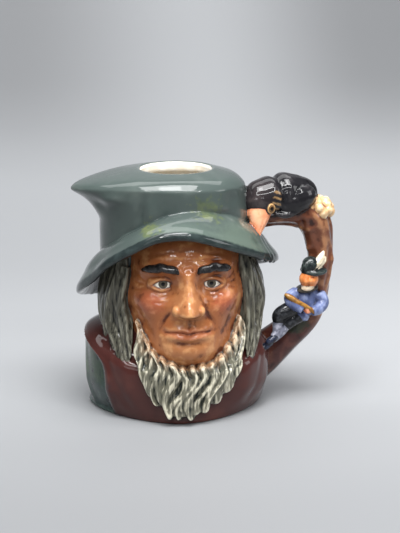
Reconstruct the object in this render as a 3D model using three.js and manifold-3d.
// A glazed earthenware toby jug, cast hollow in one piece: the head and shoulders of a bearded old
// man in a soft drooping hat. The hat's domed top has a round mouth and its left corner is pinched
// into a pouring tip. A gnarled branch, with a bird at its head and a resting man on it, is the handle.
//
// Millimetres, +Z up. The face looks along -Y, the handle is at +X and the pouring tip at -X.
// The origin is the centre of the flat underside. Angles are in degrees, from the front, and
// positive towards the handle.
import * as THREE from "three";
import { ParametricGeometry } from "three/addons/geometries/ParametricGeometry.js";
import { mergeVertices } from "three/addons/utils/BufferGeometryUtils.js";
import Module from "manifold-3d";

const wasm = await Module();
wasm.setup();

// Driving dimensions
const HEIGHT = 102;
const MOUTH_RADIUS = 15;
const FLOOR = 4.5;
const FACE_X = 2;
const BUST = { left: 40, right: 39, front: 34.5, back: 33.5, shoulder: 31.5, collar: 41 };
const NECK_OPENING = 10;
const FOOT = { left: 38.5, right: 37.5, front: 37.5, back: 33, height: 13 };
const HEAD = { height: 54, halfHeight: 38, halfWidth: 26, front: 33, back: 27, y: -3 };
const FULLNESS = { skull: 2.6, jaw: 6 };
const JAW_NARROWING = 0.06;
const BEARD = { strands: 13, spread: 47, turn: 3.2, thickness: 1.2, strandThickness: 1.9, sunk: 1.6 };
const CROWN = { left: 32.6, right: 30.7, front: 28, back: 27, foot: 57, edge: 98.4, tip: 12.2 };
const TEMPLE = { angle: 40, spread: 17, recess: 0.12 };
const BRIM = { rootInset: 5, halfThickness: 1.5, lipHalfThickness: 2.3, droop: 1.8 };
const EYE = { apart: 10, height: 59, radius: 4.2 };
const NOSE = { tip: 48.5, root: 63, reach: 8.6 };
const MOUTH_HEIGHT = 39.5;

// Small sums that the forms share
const degrees = Math.PI / 180;
const clamp01 = (t) => Math.min(1, Math.max(0, t));
const ease = (t) => clamp01(t) ** 2 * (3 - 2 * clamp01(t));
const mix = THREE.MathUtils.lerp;
const hill = (distance, spread) => Math.exp(-((distance / spread) ** 2));
const at = (x, y, z) => new THREE.Vector3(x, y, z);

// Half-width of an oval at an angle. Each side has its own size, and power 2 is an ellipse.
function ovalRadius(angle, { left, right, front, back }, power = 2.3) {
  const across = Math.sin(angle * degrees);
  const ahead = Math.cos(angle * degrees);
  const width = Math.abs(across) / (across < 0 ? left : right);
  const depth = Math.abs(ahead) / (ahead > 0 ? front : back);
  return (width ** power + depth ** power) ** (-1 / power);
}

// A point at an angle, radius and height about an upright axis.
function polar(angle, radius, height, x = 0, y = 0) {
  return at(x + radius * Math.sin(angle * degrees), y - radius * Math.cos(angle * degrees), height);
}

// A solid from any closed geometry: shared corners merged, faces that collapsed dropped.
function solid(geometry) {
  const bare = new THREE.BufferGeometry();
  bare.setAttribute("position", geometry.getAttribute("position"));
  bare.setIndex(geometry.index);
  const merged = mergeVertices(bare, 1e-3);
  const source = merged.index.array;
  const faces = [];
  for (let i = 0; i < source.length; i += 3) {
    const [a, b, c] = [source[i], source[i + 1], source[i + 2]];
    if (a !== b && b !== c && c !== a) faces.push(a, b, c);
  }
  const build = (triangles) =>
    new wasm.Manifold(
      new wasm.Mesh({
        numProp: 3,
        vertProperties: new Float32Array(merged.attributes.position.array),
        triVerts: new Uint32Array(triangles),
      }),
    );
  const made = build(faces);
  return made.volume() > 0 ? made : build(faces.reverse());
}

const join = (pieces) => pieces.reduce((whole, piece) => whole.add(piece));

// A form turned about an upright axis, whose profile changes with the angle. profileAt gives its
// [radius, height] stops, from the axis at the bottom to the axis at the top. frontShare over 0
// packs the columns towards the front.
function turned(columns, profileAt, { x = 0, y = 0, frontShare = 0 } = {}) {
  const stops = profileAt(0).length - 1;
  return solid(
    new ParametricGeometry(
      (u, v, target) => {
        const turn = (u - Math.floor(u)) * 2 - 1;
        const angle = 180 * (turn - (frontShare * Math.sin(turn * Math.PI)) / Math.PI);
        const [radius, height] = profileAt(angle)[Math.round(v * stops)];
        target.copy(polar(angle, radius, height, x, y));
      },
      columns,
      stops,
    ),
  );
}

// A tube along a smooth curve through points. Each point's fourth number is the tube's radius there.
function swept(points, { steps = 8, sides = 5 } = {}) {
  const curve = new THREE.CatmullRomCurve3(points.map(([x, y, z]) => at(x, y, z)));
  const frames = curve.computeFrenetFrames(steps);
  const radiusAt = (t) => {
    const place = Math.min(t * (points.length - 1), points.length - 1 - 1e-6);
    const k = Math.floor(place);
    return mix(points[k][3], points[k + 1][3], ease(place - k));
  };
  return solid(
    new ParametricGeometry(
      (u, v, target) => {
        const k = Math.round(v * steps);
        const open = k > 0 && k < steps ? 1 : 0;
        const turn = (u - Math.floor(u)) * 2 * Math.PI;
        target.copy(curve.getPoint(k / steps));
        target.addScaledVector(frames.normals[k], open * radiusAt(k / steps) * Math.cos(turn));
        target.addScaledVector(frames.binormals[k], open * radiusAt(k / steps) * Math.sin(turn));
      },
      sides,
      steps,
    ),
  );
}

// An egg of three half-sizes at a centre, turned by angles about X, Y and Z.
function egg(centre, halfSizes, { turn = [0, 0, 0], detail = 10 } = {}) {
  const geometry = new THREE.SphereGeometry(1, detail, Math.round(detail * 0.7));
  geometry.scale(...halfSizes);
  geometry.applyMatrix4(new THREE.Matrix4().makeRotationFromEuler(
    new THREE.Euler(...turn.map((angle) => angle * degrees)),
  ));
  geometry.translate(...centre);
  return solid(geometry);
}

// The coat's upper edge, which is open at the neck and lower at the handle.
function shoulderHeight(angle) {
  const handleSide = ease(Math.sin(angle * degrees));
  return BUST.shoulder + 2.2 * hill(angle + 90, 30) - 3.2 * handleSide - NECK_OPENING * hill(angle, 60);
}

// The coat and shoulders, on a foot with a rounder plan. The front panel stands proud of the sleeve
// behind its slanting edge.
function bust() {
  const sleeveFront = (height) => mix(-52.5, -90.5, (height / BUST.shoulder) ** 8);
  const sleeveBack = (height) => mix(-132, -100, height / BUST.shoulder);
  const panelStep = 1.4;
  const profileAt = (angle) => {
    const body = ovalRadius(angle, BUST, 2.35);
    const foot = ovalRadius(angle, FOOT, 1.65);
    const handleSide = ease(Math.sin(angle * degrees));
    const wall = (height, share) => {
      const inSleeve =
        ease((sleeveFront(height) - angle) / 4) * ease((angle - sleeveBack(height)) / 4);
      return [mix(foot, body, ease(height / FOOT.height)) * share - panelStep * inSleeve, height];
    };
    const shoulder = shoulderHeight(angle);
    return [
      [0, 0],
      wall(0, 0.97),
      wall(1.6, 1),
      wall(7, 1.01),
      wall(12, 1.01),
      wall(17, 1.01),
      wall(shoulder - 2.5, 1),
      [body * 0.975, shoulder],
      [body * 0.86, shoulder + 3],
      [body * 0.72, BUST.collar - 3 - 2 * handleSide],
      [0, BUST.collar],
    ];
  };
  return turned(36, profileAt, { frontShare: 0.35 });
}

// How far the face stands out from the head's egg, at a distance from its middle line and a height.
function faceRelief(aside, height) {
  const side = Math.abs(aside);
  const noseTall = clamp01((NOSE.root - height) / (NOSE.root - NOSE.tip));
  const noseFoot = ease((height - NOSE.tip + 4) / 4);
  const noseOut = mix(2.2, NOSE.reach, noseTall ** 1.2) * noseFoot * ease((NOSE.root + 4 - height) / 5);
  const brow = 2 * hill(side - 10, 9) * hill(height - 65.5, 3);
  const socket = -4 * hill(side - EYE.apart, 7) * hill(height - EYE.height, 5);
  const cheek = 2.4 * hill(side - 17, 7) * hill(height - 51, 7);
  const muzzle = 2.4 * hill(side, 10) * hill(height - MOUTH_HEIGHT, 8);
  const lips =
    hill(side, 8) * (hill(height - MOUTH_HEIGHT - 1.9, 1.4) + 1.3 * hill(height - MOUTH_HEIGHT + 2, 1.7));
  const chin = 3.2 * hill(side, 9) * hill(height - 30, 5.5);
  return noseOut * hill(side, mix(3.4, 5.6, noseTall)) + brow + socket + cheek + muzzle + lips + chin;
}

// How far the head's surface is from its axis, at an angle and a height, with the face on it.
function headRadius(angle, height) {
  const share = (height - HEAD.height) / HEAD.halfHeight;
  const width = HEAD.halfWidth * (1 - JAW_NARROWING * ease((46 - height) / 22));
  const plan = ovalRadius(angle, { left: width, right: width, front: HEAD.front, back: HEAD.back }, 2.2);
  const fullness = share < 0 ? FULLNESS.jaw : FULLNESS.skull;
  const radius = plan * clamp01(1 - Math.abs(share) ** fullness) ** 0.42;
  const facing = ease(Math.cos(angle * degrees) * 1.6) * ease((1 - Math.abs(share)) * 8);
  return radius + facing * faceRelief(radius * Math.sin(angle * degrees), height);
}

// The head, from inside the collar to inside the hat, with the face on its front. Its rings lie
// closest at the height of the nose.
function head() {
  const rings = 23;
  const heights = Array.from({ length: rings + 1 }, (_, k) => {
    const t = (k / rings) * 2 - 1;
    return HEAD.height + HEAD.halfHeight * (0.55 * t + 0.45 * t ** 5 - 0.12 * (1 - t * t));
  });
  const profileAt = (angle) => heights.map((height) => [headRadius(angle, height), height]);
  const skull = turned(38, profileAt, { x: FACE_X, y: HEAD.y, frontShare: 0.66 });
  const eyes = [-1, 1].map((side) =>
    egg([FACE_X + side * EYE.apart, -28, EYE.height], [5.4, EYE.radius, 3.6], { detail: 10 }),
  );
  const nostrils = [-1, 1].map((side) =>
    egg([FACE_X + side * 4.6, -36.6, NOSE.tip - 0.6], [2.9, 4.2, 2.8], { detail: 8 }),
  );
  return join([skull, ...eyes, ...nostrils]);
}

// The hair: a smooth mass round the back of the head, locks that hang over it to the collar, and a
// thick lock before each ear that frames the face.
function hair() {
  const sizes = { left: 30.6, right: 32.2, front: 20, back: 31 };
  const mass = turned(22, (angle) => {
    const oval = ovalRadius(angle, sizes, 2.1);
    const stops = [[0, 24], [0.78, 26], [0.93, 33], [1, 40], [1.03, 46], [0.95, 56], [0.84, 70], [0, 78]];
    return stops.map(([share, height]) => [oval * share, height]);
  }, { x: FACE_X, y: 1 });
  const lockCount = 10;
  const locks = Array.from({ length: lockCount }, (_, k) => {
    const angle = mix(74, 286, k / (lockCount - 1));
    const sway = 3 * Math.sin(k * 2.4);
    const end = mix(30, 37, (1 + Math.sin(k * 1.7)) / 2);
    const place = (turn, share, height, radius) => {
      const oval = ovalRadius(turn > 180 ? turn - 360 : turn, sizes, 2.1);
      const p = polar(turn, oval * share, height, FACE_X, 1);
      return [p.x, p.y, p.z, radius];
    };
    const underBrim = Math.min(70, joinHeight(angle) - 7);
    return swept([
      place(angle, 0.82, underBrim, 3),
      place(angle + sway, 0.91, Math.min(58, underBrim - 4), 3.8),
      place(angle - sway, 0.99, 46, 3.6),
      place(angle + sway * 0.5, 0.93, end, 1.6),
    ], { steps: 5 });
  });
  const leftFaceLock = swept([
    [-24, -15, 66, 2.6],
    [-26, -15, 56, 4.2],
    [-27.4, -14, 46, 4.4],
    [-24.4, -18.8, 36, 3.6],
    [-22, -27, 24, 1.4],
  ], { steps: 6, sides: 7 });
  const rightFaceLock = swept([
    [28.5, -12, 64, 2.6],
    [31, -10.5, 54, 4.2],
    [32, -9, 45, 4.6],
    [30.6, -12, 35, 3.6],
    [26, -20, 25, 1.2],
  ], { steps: 6, sides: 7 });
  return join([mass, ...locks, leftFaceLock, rightFaceLock]);
}

// How far the coat's surface is from the head's axis, at an angle and a height.
function coatRadius(angle, height) {
  let radius = 32;
  for (let step = 0; step < 8; step += 1) {
    const p = polar(angle, radius, height, FACE_X, HEAD.y);
    const turn = Math.atan2(p.x, -p.y) / degrees;
    const body = ovalRadius(turn, BUST, 2.35);
    const foot = ovalRadius(turn, FOOT, 1.65);
    const collar = mix(1.01, 0.72, clamp01((height - shoulderHeight(turn)) / 8));
    radius += mix(foot, body, ease(height / FOOT.height)) * collar - Math.hypot(p.x, p.y);
  }
  return radius;
}

// A point of the beard. strand runs from -1 at one ear to 1 at the other, and down from 0 at the
// beard's edge on the skin to 1 at its foot.
function beardPoint(strand, down) {
  const side = Math.abs(strand);
  const number = (strand * BEARD.strands) / 2;
  const each = Math.round(number);
  const ridge = Math.abs(Math.cos(Math.PI * number)) ** 0.7;
  const top = mix(24.6, 44, side ** 2.2) + 1.5 * ridge + 0.6 * Math.sin(each * 2.1);
  const foot = mix(3.4, 24, side ** 2.6) - (1.6 + 0.8 * Math.sin(each * 2.3)) * ridge;
  const height = mix(top, foot, down);
  const sway = 4.6 * (1 - 0.5 * side) * ease(down * 4);
  const bend = sway * Math.sin(2 * Math.PI * down + 0.6 * Math.sin(each * 1.7));
  const topAngle = BEARD.spread * strand + BEARD.turn;
  const footAngle = topAngle * mix(0.58, 0.8, side) - mix(8, -2, side);
  const angle = mix(topAngle, footAngle, down) + bend;
  const covered = Math.max(coatRadius(angle, height), headRadius(angle, height));
  const hung = mix(headRadius(topAngle, top), coatRadius(footAngle, foot), down);
  const curtain = hung + 0.6 * Math.sin(Math.PI * down);
  const under = covered + 0.7 * Math.log1p(Math.exp((curtain - covered) / 0.7));
  const thin = 1 - 0.45 * ease((side - 0.6) / 0.4);
  const lift = (BEARD.thickness + BEARD.strandThickness * ridge) * thin;
  const risen = ease(down / 0.1) * ease((1 - down) / 0.07);
  return polar(angle, under + mix(-BEARD.sunk, lift, risen), height, FACE_X, HEAD.y);
}

// The beard, a thick mass from ear to ear, laid over the jaw and the coat. Its strands are ridges
// between grooves, and its back lies inside the head and bust.
function beard() {
  const rows = [0, 0.09, 0.27, 0.46, 0.64, 0.81, 0.93, 1];
  const frontColumns = 2 * BEARD.strands + 1;
  const backColumns = 5;
  const columns = frontColumns + backColumns;
  const backRadius = 12;
  return solid(
    new ParametricGeometry(
      (u, v, target) => {
        const column = Math.round(u * columns) % columns;
        const row = Math.round(v * (rows.length + 1)) - 1;
        if (row < 0) {
          target.set(FACE_X, -15, 34);
        } else if (row >= rows.length) {
          target.set(FACE_X, -15, 12);
        } else if (column < frontColumns) {
          target.copy(beardPoint(column / BEARD.strands - 1, rows[row]));
        } else {
          const turn = mix(80, 280, (column - frontColumns) / (backColumns - 1));
          target.copy(polar(turn, backRadius, mix(38, 16, rows[row]), FACE_X, HEAD.y));
        }
      },
      columns,
      rows.length + 1,
    ),
  );
}

// How strongly an angle belongs to the pinched pouring tip at the hat's left.
const tipShare = (angle) => Math.exp(-(Math.abs((angle + 92) / 27) ** 1.5));

// The height at which the hat's crown meets its brim.
function joinHeight(angle) {
  const a = angle * degrees;
  return 75.2 + 8.6 * Math.cos(a) + 5 * Math.sin(a) + 3.3 * Math.cos(2 * a);
}

// The crown of the hat, up to its domed top. Its wall draws in at the temples, under the brim, where
// the skin shows. The mouth is cut later.
function crown() {
  const profileAt = (angle) => {
    const wall = ovalRadius(angle, CROWN, 2.25);
    const tip = tipShare(angle);
    const lean = 1.4 * Math.max(0, Math.sin(angle * degrees));
    const edge = CROWN.edge - 3 * tip - 1.2 * Math.max(0, Math.sin(angle * degrees));
    const flared = (height, share = 1) => {
      const flare = CROWN.tip * tip * clamp01((height - 83) / (94.4 - 83)) ** 1.15;
      const underBrim = 1 - ease((height - joinHeight(angle) + 5) / 5);
      const recess = TEMPLE.recess * hill(Math.abs(angle) - TEMPLE.angle, TEMPLE.spread) * underBrim;
      return [(wall * (1 - recess) + flare - lean * ease((height - 76) / 20)) * share, height];
    };
    const rim = flared(edge)[0];
    return [
      [0, CROWN.foot],
      [wall * 0.84, CROWN.foot],
      flared(mix(CROWN.foot, edge, 0.15), 0.97),
      flared(mix(CROWN.foot, edge, 0.32)),
      flared(mix(CROWN.foot, edge, 0.58)),
      flared(edge - 6),
      [rim - 0.2, edge - 1.7],
      [rim - 1.4, edge - 0.2],
      [mix(rim, MOUTH_RADIUS, 0.3), mix(edge, HEIGHT, 0.25) + 0.9],
      [mix(rim, MOUTH_RADIUS, 0.7), mix(edge, HEIGHT, 0.72) + 0.5],
      [MOUTH_RADIUS + 0.8, HEIGHT],
      [0, HEIGHT],
    ];
  };
  return turned(36, profileAt);
}

// The brim: a thick soft sheet from the crown to a lip that waves up and down round the head.
function brim() {
  const lip = new THREE.CatmullRomCurve3([
    at(1, -41, 79.4),
    at(-11, -40.2, 78.6),
    at(-22, -37.5, 73.2),
    at(-30.8, -31.2, 66.6),
    at(-36.6, -20.6, 58),
    at(-41.2, -9.5, 52),
    at(-42.2, 0, 48),
    at(-40.6, 9, 44.9),
    at(-36, 20, 42.4),
    at(-26.5, 31, 40.8),
    at(-9, 39.5, 45.4),
    at(10, 40.5, 49.8),
    at(27, 33.5, 52),
    at(38, 22, 54),
    at(42.6, 10, 57.4),
    at(43.8, 0.5, 60.2),
    at(41, -10, 62.4),
    at(35.2, -20, 65.4),
    at(26, -29, 70),
    at(14, -37, 75.6),
  ], true);
  const sections = 46;
  const round = 8;
  return solid(
    new ParametricGeometry(
      (u, v, target) => {
        const edge = lip.getPoint(u - Math.floor(u));
        const angle = Math.atan2(edge.x, -edge.y) / degrees;
        const turn = (v - Math.floor(v)) * 2 * Math.PI;
        const across = 0.5 - 0.5 * Math.cos(turn);
        const side = Math.sign(Math.sin(turn)) * Math.abs(Math.sin(turn)) ** 0.6;
        const root = ovalRadius(angle, CROWN, 2.25) - BRIM.rootInset;
        const reach = Math.hypot(edge.x, edge.y);
        const drop = edge.z - joinHeight(angle);
        const radius = mix(root, reach, across);
        const height = joinHeight(angle) + drop * across ** BRIM.droop;
        const slope = (drop * BRIM.droop * across ** (BRIM.droop - 1)) / (reach - root);
        const upright = 1 / Math.hypot(1, slope);
        const offset = side * mix(BRIM.halfThickness, BRIM.lipHalfThickness, across);
        target.copy(polar(angle, radius - offset * slope * upright, height + offset * upright));
      },
      sections,
      round,
    ),
  );
}

// The handle: a gnarled branch from the right shoulder, up and over to the hat, with a burl on top.
function branch() {
  const stem = swept([
    [30, 2, 12, 9.5],
    [38, 2, 18.3, 9],
    [47.5, 1.5, 26.6, 7.5],
    [53.8, 1, 32.3, 6.8],
    [57.8, 0.5, 37.5, 6.2],
    [60, 0, 44.5, 5.8],
    [61.2, 0, 52, 5.4],
    [62.3, 0, 61, 5.3],
    [61.8, 0, 68, 5.8],
    [60.4, 0, 75, 6.6],
    [57, 0, 80.4, 7.2],
    [51.5, 0, 82.6, 7],
    [44, 0, 82.6, 6.6],
    [36, 0, 82, 6.2],
    [28.5, 0, 81, 6],
  ], { steps: 26, sides: 10 });
  const burl = [
    [59.6, -2.6, 85.6, 3.3],
    [63.8, -1.2, 84.6, 3.4],
    [66.2, 0, 81.4, 2.7],
    [62.4, -4, 81.8, 2.9],
    [62.5, 3, 84, 3.4],
  ].map(([x, y, z, radius]) => egg([x, y, z], [radius, radius, radius], { detail: 6 }));
  return join([stem, ...burl]);
}

// The bird at the head of the branch, bent down so that its beak rests on the brim.
function bird() {
  const body = egg([45.5, -1.5, 89.6], [12.5, 8.8, 9], { turn: [0, -4, 14], detail: 12 });
  const tail = egg([55, 1, 90.2], [5.2, 6.2, 6.4], { detail: 9 });
  const skull = egg([35.9, -5.6, 88.6], [6.7, 7, 8.3], { turn: [16, 0, 0], detail: 11 });
  const wing = egg([49.6, -6, 87.8], [9.6, 4.8, 6.1], { turn: [0, -18, 8], detail: 9 });
  const beak = swept([
    [34.8, -7.4, 85, 4.7],
    [34.4, -10.6, 81.2, 4.6],
    [33.7, -12.8, 77.2, 3],
    [33, -13.8, 73, 0.8],
  ], { steps: 5, sides: 7 });
  return join([body, tail, skull, wing, beak]);
}

// The small man who rests against the branch: hat with a feather, coat, folded arms and a stick.
function restingMan() {
  const torso = egg([54.8, -6, 43.6], [7.6, 5.2, 7], { turn: [0, 18, 0], detail: 9 });
  const face = egg([55.7, -8.6, 54.4], [3.4, 3.2, 3.6], { detail: 8 });
  const hatBrim = egg([58.6, -7.4, 57.6], [5.6, 4.6, 1.5], { turn: [12, 4, 0], detail: 8 });
  const hatCrown = egg([57, -7, 60.4], [3.4, 3.2, 3.9], { turn: [0, 10, 0], detail: 8 });
  const feather = swept([
    [58, -10.4, 58.8, 1.1],
    [60.4, -9, 62, 1.4],
    [62.6, -6.6, 65.4, 0.7],
  ], { steps: 3, sides: 5 });
  const nearArm = swept([
    [51.4, -7, 48.4, 2.3],
    [48.3, -9.4, 46.2, 2.5],
    [51.6, -11.8, 43, 2.1],
    [54.9, -12.2, 41.4, 1.7],
  ], { steps: 4 });
  const farArm = swept([
    [60.6, -6.8, 47.6, 2.5],
    [61.8, -7.5, 43.2, 2.5],
    [59, -10.8, 41.4, 2.2],
    [55.4, -12.2, 41, 1.7],
  ], { steps: 4 });
  const stick = swept([
    [46.4, -11, 47.8, 0.9],
    [51, -12.8, 45, 1.3],
    [57.6, -13.2, 41, 0.9],
  ], { steps: 3, sides: 5 });
  const bentLeg = swept([
    [52, -7, 41.4, 3.4],
    [46.6, -9.4, 40.4, 3.3],
    [43, -9.8, 37.6, 2.8],
    [42.6, -9.8, 32.6, 2.2],
    [40, -12, 28.6, 1.5],
  ], { steps: 5 });
  const straightLeg = swept([
    [53.5, -7, 38.4, 3.6],
    [49, -8.4, 36, 3.2],
    [45.6, -8.6, 32.6, 2.6],
    [41.8, -9.6, 28.4, 2],
    [38, -11.8, 26, 1.4],
  ], { steps: 5 });
  return join([torso, face, hatBrim, hatCrown, feather, nearArm, farArm, stick, bentLeg, straightLeg]);
}

// The hollow inside, which follows the outer form at about the wall's thickness, and the mouth.
// Each stop is [half-width, half-depth, height].
function hollow() {
  const stops = [
    [0, 0, FLOOR],
    [30.5, 27.5, FLOOR],
    [34.5, 30, FLOOR + 4],
    [35, 30.5, 23],
    [31.5, 27.5, 29],
    [25, 25.5, 36],
    [26.5, 26.5, 46],
    [26, 26.5, 58],
    [26.8, 24, 70],
    [27, 23.6, 90],
    [22, 20, 95.6],
    [MOUTH_RADIUS, MOUTH_RADIUS, 98.2],
    [MOUTH_RADIUS, MOUTH_RADIUS, HEIGHT + 2],
    [0, 0, HEIGHT + 2],
  ];
  const profileAt = (angle) =>
    stops.map(([width, depth, height]) => [
      width && ovalRadius(angle, { left: width, right: width, front: depth, back: depth }, 2),
      height,
    ]);
  return turned(20, profileAt);
}

const glazed = new THREE.MeshStandardMaterial({ color: 0x5a6660, roughness: 0.12, metalness: 0 });

// The casting as one closed mesh.
function jug() {
  const cast = join([bust(), head(), hair(), beard(), crown(), brim(), branch(), bird(), restingMan()])
    .subtract(hollow())
    .getMesh();
  const geometry = new THREE.BufferGeometry();
  geometry.setAttribute("position", new THREE.BufferAttribute(cast.vertProperties, 3));
  geometry.setIndex(new THREE.BufferAttribute(cast.triVerts, 1));
  const mesh = new THREE.Mesh(geometry, glazed);
  mesh.name = "jug";
  return mesh;
}

const group = new THREE.Group();
group.add(jug());

export default group;
